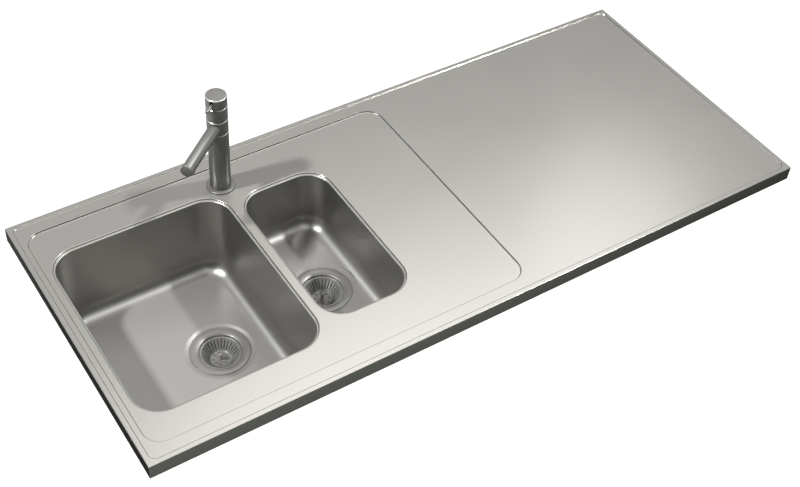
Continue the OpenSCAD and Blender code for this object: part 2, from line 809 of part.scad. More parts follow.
// Spout's tube, brazed into the collar, with the hole for the aerator
module spout_tube() {
    color("silver") difference() {
        along_spout() rod_x(spout_r, 0, spout_l - end_cap_t);
        along_spout() rod_x(spout_r - spout_wall, -eps, spout_l);
        at_tap() rod(socket_r + run, column_z, collar_z + eps);
        along_spout() translate([spout_l - outlet_back, 0, 0]) rod(aerator_r + run, -2 * spout_r, 0);
    }
}

// Flat cap that closes the spout, with a small chamfer and a plug inside the tube
module spout_end_cap() {
    plug_r = spout_r - spout_wall - run;
    color("silver") along_spout() translate([spout_l, 0, 0]) rotate([0, 90, 0]) rotate_extrude() polygon([
        [0, -end_cap_t - plug_l], [plug_r, -end_cap_t - plug_l], [plug_r, -end_cap_t],
        [spout_r, -end_cap_t], [spout_r, -edge_bevel], [spout_r - edge_bevel, 0], [0, 0]
    ]);
}

// Aerator in the underside of the spout: a short tube with a pierced disc
module spout_aerator() {
    low = -spout_r - aerator_proud;
    high = -spout_r + aerator_rise;
    inner_r = aerator_r - aerator_wall;
    color([0.35, 0.35, 0.35]) along_spout() translate([spout_l - outlet_back, 0, 0]) difference() {
        rod(aerator_r, low, high);
        rod(inner_r, low - eps, -spout_r + mesh_drop);
        for (row = [1, 2], k = [1:5 * row])
            rotate([0, 0, 72 * k / row]) translate([row * inner_r / 3, 0, 0])
                rod(mesh_hole_r, low, high + eps);
    }
}

// Ring above the collar, which holds the ceramic cartridge
module cartridge_housing() {
    color("silver") at_tap() difference() {
        rod(tap_r, collar_z + seam, housing_z);
        rod(neck_r + run, collar_z, neck_z + eps);
        rod(housing_in_r, neck_z, housing_z + eps);
        rod(swivel_washer_out_r + play, collar_z, collar_z + seam + swivel_washer_t - washer_proud);
    }
}
module cartridge_ports() {
    for (p = [[-inlet_span / 2, 0], [inlet_span / 2, 0], [0, port_back]])
        translate([p[0], p[1], 0]) children();
}
module cartridge() {
    color([0.9, 0.9, 0.88]) at_tap() difference() {
        rod(cartridge_r, cartridge_low, cartridge_top);
        rod(stem_r + run, stem_low - stem_gap, cartridge_top + eps);
        cartridge_ports() rod(way_r, cartridge_low - eps, cartridge_low + port_depth);
    }
}
module cartridge_seals() {
    color([0.12, 0.12, 0.12]) at_tap() cartridge_ports()
        ring(way_r + port_seal_out, way_r + port_seal_in, neck_z, cartridge_low);
}
module cartridge_nut() {
    color([0.8, 0.66, 0.35]) at_tap()
        ring(housing_in_r - run, stem_r + stem_gap, cartridge_top, cartridge_top + cartridge_nut_h);
}

// Turning stem of the cartridge with the disc and two ears that carry cap and lever
module handle_stem() {
    top = disc_z + disc_t;
    ear_y = knuckle_w / 2 + ear_gap;
    color([0.8, 0.66, 0.35]) at_lever() difference() {
        union() {
            rod(stem_r, stem_low, disc_z + eps);
            rod(housing_in_r - disc_gap, disc_z, top);
            for (y = [-ear_y - ear_t, ear_y])
                translate([-ear_w / 2, y, top - eps]) cube([ear_w, ear_t, lever_z + ear_rise - top + eps]);
        }
        rod(finger_r + finger_room, disc_z - finger_room, top + eps);
        translate([0, 0, lever_z]) rod_y(pivot_r, tap_r);
        translate([0, 0, screw_z]) rod_x(screw_r + run, -tap_r, -tap_r + screw_inset + screw_l + free);
    }
}

// Cap with its slot for the lever, held by a grub screw at the back
module handle_cap() {
    slot_r = lever_r + free;
    low = housing_z + seam;
    rise = tap_r * tan(lever_lift) + play;
    color("silver") at_lever() difference() {
        translate([0, 0, low]) rotate_extrude() polygon([
            [0, 0], [tap_r, 0], [tap_r, cap_z - low - cap_chamfer],
            [tap_r - cap_chamfer, cap_z - low], [0, cap_z - low]
        ]);
        rod(housing_in_r, low - eps, cap_z - cap_wall);
        translate([0, 0, lever_z - play]) rod_x(slot_r, slot_from, tap_r + eps);
        translate([0, 0, lever_z + rise]) rod_x(slot_r, slot_from, tap_r + eps);
        translate([slot_from, -slot_r, lever_z - play]) cube([tap_r, 2 * slot_r, rise + play]);
        translate([0, 0, screw_z]) rod_x(screw_r + run, -tap_r - eps, 0);
    }
}
module handle_screw() {
    color([0.3, 0.3, 0.3]) at_lever() translate([0, 0, screw_z])
        rod_x(screw_r, -tap_r + screw_inset, -tap_r + screw_inset + screw_l);
}

// Lever: round pin with a bevelled end, screwed into the knuckle
module lever_pin() {
    color("silver") at_lever() translate([0, 0, lever_z]) rotate([0, 90, 0]) rotate_extrude() polygon([
        [0, thread_from], [thread_r, thread_from], [thread_r, knuckle_r],
        [lever_r, knuckle_r + neck_bevel], [lever_r, lever_l - edge_bevel],
        [lever_r - edge_bevel, lever_l], [0, lever_l]
    ]);
}
module lever_knuckle() {
    color([0.8, 0.66, 0.35]) at_lever() translate([0, 0, lever_z]) difference() {
        union() {
            rod_y(knuckle_r, knuckle_w / 2);
            rod(finger_r, -finger_l, 0);
        }
        rod_y(pivot_r + run, knuckle_w);
        rod_x(thread_r + run, thread_from - play, knuckle_r + eps);
    }
}
module lever_pivot() {
    color([0.6, 0.6, 0.6]) at_lever() translate([0, 0, lever_z])
        rod_y(pivot_r, knuckle_w / 2 + ear_gap + ear_t);
}

worktop_sheet();
bowl(BOWLS[0]);  // main_bowl
bowl(BOWLS[1]);  // small_bowl
drainer_board();
front_batten();
back_batten();
left_batten();
main_sound_pad();
small_sound_pads();
waste_cup(BOWLS[0]);  // main_waste_cup
waste_seal(BOWLS[0]);  // main_waste_seal
waste_washer(BOWLS[0]);  // main_waste_washer
friction_ring(BOWLS[0]);  // main_friction_ring
locknut(BOWLS[0]);  // main_locknut
tail_pipe(BOWLS[0]);  // main_tail_pipe
tail_seal(BOWLS[0]);  // main_tail_seal
tail_nut(BOWLS[0]);  // main_tail_nut
strainer(BOWLS[0]);  // main_strainer
strainer_seal(BOWLS[0]);  // main_strainer_seal
strainer_knob(BOWLS[0]);  // main_strainer_knob
strainer_nut(BOWLS[0]);  // main_strainer_nut
waste_cup(BOWLS[1]);  // small_waste_cup
waste_seal(BOWLS[1]);  // small_waste_seal
waste_washer(BOWLS[1]);  // small_waste_washer
friction_ring(BOWLS[1]);  // small_friction_ring
locknut(BOWLS[1]);  // small_locknut
tail_pipe(BOWLS[1]);  // small_tail_pipe
tail_seal(BOWLS[1]);  // small_tail_seal
tail_nut(BOWLS[1]);  // small_tail_nut
strainer(BOWLS[1]);  // small_strainer
strainer_seal(BOWLS[1]);  // small_strainer_seal
strainer_knob(BOWLS[1]);  // small_strainer_knob
strainer_nut(BOWLS[1]);  // small_strainer_nut
tap_base_ring();
tap_base_seal();
tap_body();
tap_shank();
tap_rubber_washer();
tap_clamp_plate();
tap_nut();
swivel_washers();
swivel_orings();
spout_collar();
spout_tube();
spout_end_cap();
spout_aerator();
cartridge_housing();
cartridge();
cartridge_seals();
cartridge_nut();
handle_stem();
handle_cap();
handle_screw();
lever_pin();
lever_knuckle();
lever_pivot();
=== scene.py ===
import math

import bmesh
import bpy
from mathutils import Matrix, Vector


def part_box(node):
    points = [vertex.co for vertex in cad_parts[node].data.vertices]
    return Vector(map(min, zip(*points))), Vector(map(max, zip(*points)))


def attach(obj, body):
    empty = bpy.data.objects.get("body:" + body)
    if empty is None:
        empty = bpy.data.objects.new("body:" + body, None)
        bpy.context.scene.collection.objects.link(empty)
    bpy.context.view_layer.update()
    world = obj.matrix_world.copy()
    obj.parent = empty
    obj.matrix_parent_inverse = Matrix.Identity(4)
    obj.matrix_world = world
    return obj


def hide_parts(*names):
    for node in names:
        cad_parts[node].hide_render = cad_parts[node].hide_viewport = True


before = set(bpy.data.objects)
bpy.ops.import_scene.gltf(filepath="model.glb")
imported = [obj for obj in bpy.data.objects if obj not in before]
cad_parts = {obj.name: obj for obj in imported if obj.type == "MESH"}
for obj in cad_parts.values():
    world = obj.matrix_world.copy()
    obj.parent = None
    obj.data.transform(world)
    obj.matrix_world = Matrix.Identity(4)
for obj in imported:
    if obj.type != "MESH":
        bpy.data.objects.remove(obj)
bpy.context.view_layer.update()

# Worktop. One sheet of stainless steel, 1 mm thick, with its edges turned down all round.
# It is pressed with a raised rim and a lower wet zone, punched for two bowls and a tap,
# and ground to an even satin finish along its length.
sheet_t = 0.001
fold_r = 0.0011
corner_r = 0.0012
rim_w = 0.0095
rim_step = 0.0015
rim_slope = 50
rim_edge_r = 0.0005
rim_hollow_r = 0.0010
work_corner_r = 0.013
zone_left = 0.020
zone_front = 0.034
zone_l = 0.747
zone_w = 0.529
zone_step = 0.0025
zone_slope = 57
zone_edge_r = 0.0004
zone_hollow_r = 0.0010
zone_corner_r = 0.033
lip_corner_r = {"main": 0.060, "small": 0.058}
tap_hole_r = 0.0175
flat_strip = 0.0003
sharp_angle = 38
# Faces that look less far up than this take the edges' painted shade.
painted_shade_turn = 0.5
sheet_grain = (10, 400, 400)
cloud_grain = (7, 7, 7)
cloud_tone = 0.06
cloud_rough = 0.03
line_tone = 0.012
line_rough = 0.02
line_strength = 0.01
line_h = 0.00003
# The edges' dark tone and dulled glancing reflection are painted shade.
edge_painted_shade_tone = (0.090, 0.093, 0.084)
edge_metal = 0.97
edge_painted_shade_glare = 0.1

sheet_low, sheet_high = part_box("worktop_sheet")
work_z = sheet_high.z - rim_step
zone_z = work_z - zone_step
column_low, column_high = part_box("tap_body")
tap_axis = (column_low + column_high) / 2


def bend(radius, start, end, steps):
    """Moves (inward, up) round an arc, from one heading to another: 0 runs inward and 90 up."""
    turn = math.radians(end - start) / steps
    chord = 2 * radius * math.sin(abs(turn) / 2)
    headings = [math.radians(start) + turn * (k + 0.5) for k in range(steps)]
    return [(chord * math.cos(h), chord * math.sin(h)) for h in headings]


def flank_length(depth, slope, edge_r, hollow_r):
    """Length of the straight flank that a pressed step has between its two roundings."""
    s = math.radians(slope)
    return (depth - (edge_r + hollow_r) * (1 - math.cos(s))) / math.sin(s)


def dip(depth, slope, edge_r, hollow_r, steps):
    """Moves down a pressed step: over its rounded edge, down its flank and out along its hollow."""
    s = math.radians(slope)
    flank = flank_length(depth, slope, edge_r, hollow_r)
    level = [(flat_strip, 0)]
    return (level + bend(edge_r, 0, -slope, steps) + [(flank * math.cos(s), -flank * math.sin(s))]
            + bend(hollow_r, -slope, 0, steps) + level)


def dip_width(depth, slope, edge_r, hollow_r):
    """How wide a pressed step is, seen from above."""
    s = math.radians(slope)
    flank = flank_length(depth, slope, edge_r, hollow_r)
    return (edge_r + hollow_r) * math.sin(s) + flank * math.cos(s) + 2 * flat_strip


def blank(bm, low, high, radius, steps=16):
    """A flat face at low's height, with round corners."""
    before = set(bm.faces)
    corners = bmesh.ops.create_grid(bm, x_segments=1, y_segments=1, size=0.5)["verts"]
    bmesh.ops.scale(bm, vec=(high.x - low.x, high.y - low.y, 1), verts=corners)
    bmesh.ops.translate(bm, vec=((low.x + high.x) / 2, (low.y + high.y) / 2, low.z), verts=corners)
    bmesh.ops.bevel(bm, geom=corners, offset=radius, offset_type="OFFSET", segments=steps, profile=0.5,
                    affect="VERTICES", material=-1)
    return (set(bm.faces) - before).pop()


def press(bm, skin, moves):
    """Presses a face into a band of faces, and returns the band with its outer and inner edges."""
    band = []
    for inward, up in moves:
        band += bmesh.ops.inset_individual(bm, faces=[skin], thickness=inward, depth=up,
                                           use_even_offset=True)["faces"]
    inner = list(skin.edges)
    bmesh.ops.delete(bm, geom=[skin], context="FACES_ONLY")
    outer = {edge for face in band for edge in face.edges if edge.is_boundary} - set(inner)
    return band, list(outer), inner


def fill(bm, edges):
    """Fills the level ground between loops of edges."""
    bmesh.ops.triangle_fill(bm, use_beauty=True, use_dissolve=False, edges=edges, normal=(0, 0, 1))


def grown(low, high, by, z):
    """Plan corners of a box grown by a width, at a height."""
    return Vector((low.x - by, low.y - by, z)), Vector((high.x + by, high.y + by, z))


def circle_edges(bm, centre, radius, z, steps=96):
    """Edges of a round hole."""
    ring = bmesh.ops.create_circle(bm, cap_ends=False, radius=radius, segments=steps)["verts"]
    bmesh.ops.translate(bm, vec=(centre.x, centre.y, z), verts=ring)
    return list({edge for vert in ring for edge in vert.link_edges})


class Shade:
    """A value or colour in a material, to which Python's operators add Math nodes."""

    mix_share, mix_first, mix_second, mix_result = 0, 6, 7, 2

    def __init__(self, tree, socket):
        self.tree = tree
        self.socket = socket

    def node(self, kind, settings, inputs, output=0):
        """Adds any other node: its settings first, then its inputs' values or links."""
        made = self.tree.nodes.new("ShaderNode" + kind)
        for name, value in settings.items():
            if name == "stops":
                ramp = made.color_ramp.elements
                while len(ramp) < len(value):
                    ramp.new(1)
                for stop, (at, shade) in zip(ramp, value):
                    stop.position = at
                    stop.color = (*shade, 1)
            else:
                setattr(made, name, value)
        for name, value in inputs.items():
            if isinstance(value, Shade):
                self.tree.links.new(value.socket, made.inputs[name])
            else:
                made.inputs[name].default_value = value
        return Shade(self.tree, made.outputs[output])

    def math(self, operation, first, second):
        return self.node("Math", {"operation": operation}, {0: first, 1: second})

    def __add__(self, other):
        return self.math("ADD", self, other)

    def __sub__(self, other):
        return self.math("SUBTRACT", self, other)

    def __rsub__(self, other):
        return self.math("SUBTRACT", other, self)

    def __mul__(self, other):
        return self.math("MULTIPLY", self, other)

    __radd__ = __add__
    __rmul__ = __mul__

    def noise(self, scale, detail=2.0):
        """Soft noise around zero, with its own scale along each axis."""
        place = self.node("Mapping", {}, {"Vector": self, "Scale": scale})
        return self.node("TexNoise", {}, {"Vector": place, "Scale": 1.0, "Detail": detail}) - 0.5

    def between(self, first, second):
        """The colour that this value picks between two colours."""
        ends = {self.mix_share: self, self.mix_first: (*first, 1), self.mix_second: (*second, 1)}
        return self.node("Mix", {"data_type": "RGBA"}, ends, self.mix_result)

    def blended(self, how, other):
        """This colour with all of another one multiplied into it or added to it."""
        ends = {self.mix_share: 1.0, self.mix_first: self, self.mix_second: other}
        return self.node("Mix", {"data_type": "RGBA", "blend_type": how}, ends, self.mix_result)

    def grey(self):
        """A grey of this brightness."""
        return self.node("CombineColor", {}, {"Red": self, "Green": self, "Blue": self})

    def feed(self, shader, name):
        """Links this value or colour to a socket of a shader."""
        self.tree.links.new(self.socket, shader.inputs[name])


def new_material(name, color, metallic, roughness):
    """A material's shader, and the place on the piece that its patterns read."""
    made = bpy.data.materials.new(name)
    made.use_nodes = True
    shader = made.node_tree.nodes["Principled BSDF"]
    shader.inputs["Base Color"].default_value = (*color, 1)
    shader.inputs["Metallic"].default_value = metallic
    shader.inputs["Roughness"].default_value = roughness
    place = Shade(made.node_tree, made.node_tree.nodes.new("ShaderNodeTexCoord").outputs["Object"])
    return made, shader, place


def facing_painted_metal(name, satin, bright, turn, roughness, grain):
    """Metal painted lit and shaded by which way its faces look: level faces take a diffuse satin,
    which the lamps light, and steep faces a more metallic finish, which shows only the dim surroundings.

    Satin and bright are each a colour and how metallic it is. Turn is how far up its faces look
    where they are all bright and all satin. Grain is how closely its lines lie along x, y and z.
    """
    satin_tone, satin_metal = satin
    bright_tone, bright_metal = bright
    made, shader, place = new_material(name, satin_tone, satin_metal, roughness)
    # The share of satin by facing, which paints light on level faces and shade on steep ones.
    facing = place.node("TexCoord", {}, {}, "Normal")
    upward = facing.node("SeparateXYZ", {}, {"Vector": facing}, "Z")
    level = upward.node("MapRange", {"interpolation_type": "SMOOTHSTEP"},
                        {"Value": upward, "From Min": turn[0], "From Max": turn[1]})
    if satin_metal != bright_metal:
        (level * (satin_metal - bright_metal) + bright_metal).feed(shader, "Metallic")
    lines = place.noise(grain, detail=3.0)
    clouds = place.noise(cloud_grain)
    tone = level.between(bright_tone, satin_tone)
    wear = (clouds * cloud_tone + lines * line_tone + 1.0).grey()
    tone.blended("MULTIPLY", wear).feed(shader, "Base Color")
    (lines * line_rough + clouds * cloud_rough + roughness).feed(shader, "Roughness")
    bump = place.node("Bump", {}, {"Height": lines, "Strength": line_strength, "Distance": line_h})
    bump.feed(shader, "Normal")
    return made


def dull_glare(material, share):
    """Tones down what a metal reflects at a glancing angle."""
    tint = material.node_tree.nodes["Principled BSDF"].inputs["Specular Tint"]
    tint.default_value = (share, share, share, 1)


def add_piece(bm, name, body, nodes, materials):
    """Turns a finished bmesh into a piece that rides on a body and stands for CAD nodes."""
    for face in bm.faces:
        face.smooth = True
    for edge in bm.edges:
        edge.smooth = not edge.is_boundary and edge.calc_face_angle(0) < math.radians(sharp_angle)
    mesh = bpy.data.meshes.new(name)
    bm.to_mesh(mesh)
    bm.free()
    for material in materials:
        mesh.materials.append(material)
    piece = bpy.data.objects.new(name, mesh)
    bpy.context.scene.collection.objects.link(piece)
    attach(piece, body)
    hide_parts(*nodes)
    return piece


def thicken(piece, thickness):
    """Gives a skin its thickness, behind the side that shows."""
    wall = piece.modifiers.new("wall", "SOLIDIFY")
    wall.thickness = thickness
    wall.offset = -1


# Level faces take a lit satin and the steps' steep flanks a mirror metal, which is painted light and
# shade.
worktop_steel = facing_painted_metal("worktop_steel", satin=((0.275, 0.268, 0.253), 0.52),
                         bright=((0.42, 0.41, 0.385), 0.97), turn=(0.88, 0.99), roughness=0.20,
                         grain=sheet_grain)
# The turned-down edges get this dark steel as painted shade.
edge_painted_shade_steel = facing_painted_metal("edge_painted_shade_steel", satin=(edge_painted_shade_tone, edge_metal), bright=(edge_painted_shade_tone, edge_metal),
                      turn=(0, 1), roughness=0.35, grain=sheet_grain)
dull_glare(edge_painted_shade_steel, edge_painted_shade_glare)

bm = bmesh.new()
skin = blank(bm, *grown(sheet_low, sheet_high, 0, sheet_low.z), corner_r, steps=6)
fold = bend(fold_r, 90, 0, steps=6)
edge_face_h = sheet_high.z - sheet_low.z - fold_r
sides, _, rim_outer = press(bm, skin, [(0, edge_face_h)] + fold + [(flat_strip, 0)])
# Faces that look sideways take the edges' painted shade.
for face in sides:
    face.material_index = int(face.normal.z < painted_shade_turn)

rim_half = dip_width(rim_step, rim_slope, rim_edge_r, rim_hollow_r) / 2
skin = blank(bm, *grown(sheet_low, sheet_high, rim_half - rim_w, sheet_high.z), work_corner_r + rim_half)
_, rim_inner, work_outer = press(bm, skin, dip(rim_step, rim_slope, rim_edge_r, rim_hollow_r, steps=4))
fill(bm, rim_outer + rim_inner)

zone_half = dip_width(zone_step, zone_slope, zone_edge_r, zone_hollow_r) / 2
zone_low = Vector((sheet_low.x + zone_left, sheet_low.y + zone_front, zone_z))
zone_high = zone_low + Vector((zone_l, zone_w, 0))
skin = blank(bm, *grown(zone_low, zone_high, zone_half, work_z), zone_corner_r + zone_half)
zone_moves = dip(zone_step, zone_slope, zone_edge_r, zone_hollow_r, steps=6)
_, work_inner, zone_outer = press(bm, skin, zone_moves)
fill(bm, work_outer + work_inner)

holes = circle_edges(bm, tap_axis, tap_hole_r, zone_z, steps=64)
for size, radius in lip_corner_r.items():
    opening = blank(bm, *grown(*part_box(size + "_bowl"), 0, zone_z), radius)
    holes += list(opening.edges)
    bmesh.ops.delete(bm, geom=[opening], context="FACES_ONLY")
fill(bm, zone_outer + holes)
worktop = add_piece(bm, "worktop", "worktop", ["worktop_sheet"],
                    [worktop_steel, edge_painted_shade_steel])
thicken(worktop, sheet_t)

# Boards. Bare particle board is glued into the worktop from below: one board under the drainer
# and battens round the bowls, which carry the top on its cabinet and deaden its sound.
chip_scale = 260.0
chip_share = 0.7
shred_share = 0.8
chip_base = 0.15


def dress(material, *nodes):
    """Gives CAD nodes that show as they are a material of their own."""
    for name in nodes:
        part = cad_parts[name]
        part.data.materials.clear()
        part.data.materials.append(material)


board, shader, place = new_material("particle_board", (0.52, 0.38, 0.23), metallic=0, roughness=0.85)
chips = place.node("TexVoronoi", {}, {"Vector": place, "Scale": chip_scale}, "Color")
chip_tone = place.node("SeparateColor", {}, {"Color": chips})
shreds = place.noise((300, 90, 300), detail=4.0)
mottle = chip_tone * chip_share + shreds * shred_share + chip_base
mottle.between((0.30, 0.20, 0.11), (0.66, 0.51, 0.33)).feed(shader, "Base Color")
bump = place.node("Bump", {}, {"Height": shreds + chip_tone * 0.3, "Strength": 0.4, "Distance": 0.0006})
bump.feed(shader, "Normal")
dress(board, "drainer_board", "front_batten", "back_batten", "left_batten")

# Bowls. Each is drawn in one piece from stainless steel, with round corners and a rolled lip that is
# welded into the worktop and ground flush. A seat for the waste is pressed into its floor.
lip_w = 0.010
lip_step = 0.003
lip_slope = 84
lip_edge_r = 0.0012
lip_hollow_r = 0.0012
ledge_w = 0.0045
roll_r = 0.0025
floor_r = 0.032
seat_d = 0.003
seat_out_r = 0.068
seat_in_r = 0.058
seat_edge_r = 0.009
seat_hollow_r = 0.006
seat_slope = 22
seat_tool_round = 0.006
seat_tool_over = 0.0001
seat_tool_h = 0.012
drain_hole_r = 0.045
lid_h = 0.005
cut_angle = 30
weld_gap = 1e-7
trim_gap = 1e-5


def combine(piece, bm, operation):
    """Cuts a tool's shape out of a piece, or joins it to the piece."""
    mesh = bpy.data.meshes.new("tool")
    bm.to_mesh(mesh)
    bm.free()
    tool = bpy.data.objects.new("tool", mesh)
    bpy.context.scene.collection.objects.link(tool)
    change = piece.modifiers.new("tool", "BOOLEAN")
    change.object = tool
    change.operation = operation
    change.solver = "EXACT"
    graph = bpy.context.evaluated_depsgraph_get()
    changed = bpy.data.meshes.new_from_object(piece.evaluated_get(graph))
    changed.set_sharp_from_angle(angle=math.radians(cut_angle))
    piece.modifiers.remove(change)
    piece.data = changed
    bpy.data.objects.remove(tool)


def turned(section, steps=96):
    """Spins a section about Z. Each of its corners is (radius, height, rounding)."""
    bm = bmesh.new()
    corners = [bm.verts.new((radius, 0, height)) for radius, height, _ in section]
    bm.faces.new(corners)
    for corner, (_, _, rounding) in zip(corners, section):
        if rounding:
            bmesh.ops.bevel(bm, geom=[corner], offset=rounding, offset_type="OFFSET", segments=4,
                            profile=0.5, affect="VERTICES", material=-1)
    bmesh.ops.delete(bm, geom=bm.faces[:], context="FACES_ONLY")
    inmost = [edge for edge in bm.edges if all(abs(vert.co.x) < weld_gap for vert in edge.verts)]
    bmesh.ops.delete(bm, geom=inmost, context="EDGES")
    bmesh.ops.spin(bm, geom=bm.verts[:] + bm.edges[:], cent=(0, 0, 0), axis=(0, 0, 1), dvec=(0, 0, 0),
                   angle=math.tau, steps=steps, use_merge=True, use_duplicate=False)
    bmesh.ops.remove_doubles(bm, verts=bm.verts, dist=weld_gap)
    bmesh.ops.recalc_face_normals(bm, faces=bm.faces)
    return bm


# The floors take a lit satin and the walls a mirror metal, which is painted light on the floors and shade
# on the walls.
bowl_steel = facing_painted_metal("bowl_steel", satin=((0.165, 0.161, 0.152), 0.12),
                      bright=((0.34, 0.335, 0.318), 0.97), turn=(0.80, 0.98), roughness=0.38,
                      grain=(120, 120, 30))
bowl_finish = [bowl_steel, worktop_steel]
lip_width = dip_width(lip_step, lip_slope, lip_edge_r, lip_hollow_r)
drain_centre = {}
floor_z = {}
for size in ("main", "small"):
    bowl_low, bowl_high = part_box(size + "_bowl")
    cup_low, cup_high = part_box(size + "_waste_cup")
    drain = (cup_low + cup_high) / 2
    drain_centre[size] = drain
    floor_z[size] = bowl_low.z + sheet_t + seat_d
    lip_flat = lip_w - ledge_w - lip_width / 2
    wall_h = zone_z - lip_step - roll_r - floor_r - floor_z[size]
    moves = ([(lip_flat, 0)] + dip(lip_step, lip_slope, lip_edge_r, lip_hollow_r, steps=5)
             + [(ledge_w - lip_width / 2 - roll_r, 0)] + bend(roll_r, 0, -90, steps=6)
             + [(0, -wall_h)] + bend(floor_r, -90, 0, steps=16) + [(flat_strip, 0)])
    bm = bmesh.new()
    skin = blank(bm, *grown(bowl_low, bowl_high, 0, zone_z), lip_corner_r[size])
    band, lip_outer, floor_edges = press(bm, skin, moves)
    for face in band:
        face.material_index = int(face.calc_center_median().z > zone_z - lip_step / 4)
    if size == "main":
        seat_r = seat_out_r + flat_strip
        seat = bmesh.ops.create_circle(bm, cap_ends=True, radius=seat_r, segments=96)["verts"]
        bmesh.ops.translate(bm, vec=(drain.x, drain.y, floor_z[size]), verts=seat)
        seat_moves = dip(seat_d, seat_slope, seat_edge_r, seat_hollow_r, steps=5)
        _, seat_outer, seat_inner = press(bm, seat[0].link_faces[0], seat_moves)
        fill(bm, floor_edges + seat_outer)
        fill(bm, seat_inner + circle_edges(bm, drain, drain_hole_r, floor_z[size] - seat_d))
        bowl = add_piece(bm, "main_bowl_shell", "worktop", ["main_bowl"], bowl_finish)
        thicken(bowl, sheet_t)
    else:
        fill(bm, floor_edges)
        lid = bmesh.ops.extrude_edge_only(bm, edges=lip_outer)["geom"]
        lid_verts = [part for part in lid if isinstance(part, bmesh.types.BMVert)]
        bmesh.ops.translate(bm, vec=(0, 0, lid_h), verts=lid_verts)
        lid_edges = [part for part in lid if isinstance(part, bmesh.types.BMEdge)]
        bmesh.ops.contextual_create(bm, geom=lid_edges)
        bmesh.ops.recalc_face_normals(bm, faces=bm.faces)
        bowl = add_piece(bm, "small_bowl_shell", "worktop", ["small_bowl"], bowl_finish)
        low = floor_z[size] - seat_d
        tool = turned([(0, low, 0), (seat_in_r, low, seat_tool_round),
                       (seat_out_r, floor_z[size] + seat_tool_over, 0),
                       (seat_out_r, low + seat_tool_h, 0), (0, low + seat_tool_h, 0)])
        bmesh.ops.translate(tool, vec=(drain.x, drain.y, 0), verts=tool.verts)
        combine(bowl, tool, "UNION")
        bm = bmesh.new()
        bm.from_mesh(bowl.data)
        above = [face for face in bm.faces if face.calc_center_median().z > zone_z + trim_gap]
        bmesh.ops.delete(bm, geom=above, context="FACES")
        bmesh.ops.reverse_faces(bm, faces=bm.faces)
        bm.to_mesh(bowl.data)
        bm.free()
        hole = turned([(0, low - lid_h, 0), (drain_hole_r, low - lid_h, 0),
                       (drain_hole_r, low + lid_h, 0), (0, low + lid_h, 0)])
        bmesh.ops.translate(hole, vec=(drain.x, drain.y, 0), verts=hole.verts)
        thicken(bowl, sheet_t)
        combine(bowl, hole, "DIFFERENCE")
        bowl.modifiers.clear()

# Sound pads. Soft sheets of black bitumen are pressed warm on the undersides of the bowls' floors,
# where they stick, and deaden the noise of water and dishes.
bitumen, shader, place = new_material("bitumen", (0.035, 0.035, 0.037), metallic=0, roughness=0.8)
crumbs = place.noise((700, 700, 700), detail=3.0)
(crumbs * 0.2 + 0.78).feed(shader, "Roughness")
place.node("Bump", {}, {"Height": crumbs, "Strength": 0.3, "Distance": 0.0004}).feed(shader, "Normal")
dress(bitumen, "main_sound_pad", "small_sound_pads")

# Wastes. A pressed steel cup with a wide flange is clamped through the bowl's floor by a locknut,
# with rubber and fibre rings between, and a plastic tail pipe hangs from it in its own nut.
flange_r = 0.057
flange_low = 0.0018
flange_top = 0.0006
throat_r = 0.040
throat_edge_r = 0.047
throat_low = 0.003
ledge_z = 0.008
ledge_in_r = 0.0365
ledge_low = 0.011
basin_r = 0.0245
basin_z = 0.0293
outlet_r = 0.0195
spigot_r = 0.0239
spigot_z = 0.058
spigot_in_round = 0.0004
spigot_round = 0.0006
cone_low = 0.0373
cone_top = 0.0313
cup_r = 0.042
cup_top = 0.0033
cup_flare = 0.0015
cup_round = 0.002
flange_round = 0.0002
throat_round = 0.0012
ledge_round = 0.0008
ledge_in_round = 0.0006

# Faces that look up take a lit satin and steep faces a mirror metal, which is painted light and shade.
waste_steel = facing_painted_metal("waste_steel", satin=((0.135, 0.132, 0.126), 0.30),
                       bright=((0.50, 0.49, 0.47), 0.97), turn=(0.1, 0.8), roughness=0.36,
                       grain=(90, 90, 90))
rubber, shader, place = new_material("rubber", (0.025, 0.025, 0.025), metallic=0, roughness=0.6)
(place.noise((400, 400, 400)) * 0.2 + 0.6).feed(shader, "Roughness")
fibre, shader, place = new_material("fibre", (0.36, 0.22, 0.12), metallic=0, roughness=0.85)
strands = place.noise((900, 900, 900)) + 0.5
strands.between((0.30, 0.17, 0.09), (0.42, 0.27, 0.15)).feed(shader, "Base Color")
plastic, shader, place = new_material("white_plastic", (0.80, 0.80, 0.78), metallic=0, roughness=0.4)
(place.noise((150, 150, 150)) * 0.15 + 0.4).feed(shader, "Roughness")
for size in ("main", "small"):
    drain = drain_centre[size]
    cup = turned([(outlet_r, -spigot_z, spigot_in_round), (spigot_r, -spigot_z, spigot_round),
                  (spigot_r, -cone_low, 0), (cup_r, -cone_top, cup_round), (cup_r, -cup_top, 0),
                  (cup_r + cup_flare, -flange_low, 0), (flange_r, -flange_low, flange_round),
                  (flange_r, -flange_top, flange_round), (throat_edge_r, -flange_top, cup_round),
                  (throat_r, -throat_low, throat_round), (throat_r, -ledge_z, ledge_round),
                  (ledge_in_r, -ledge_z, ledge_in_round), (ledge_in_r, -ledge_low, ledge_in_round),
                  (basin_r, -basin_z, cup_round), (outlet_r, -basin_z, ledge_in_round)])
    bmesh.ops.translate(cup, vec=(drain.x, drain.y, floor_z[size]), verts=cup.verts)
    add_piece(cup, size + "_cup", "worktop", [size + "_waste_cup"], [waste_steel])
    dress(rubber, size + "_waste_seal", size + "_waste_washer", size + "_tail_seal")
    dress(fibre, size + "_friction_ring")
    dress(plastic, size + "_locknut", size + "_tail_pipe", size + "_tail_nut")

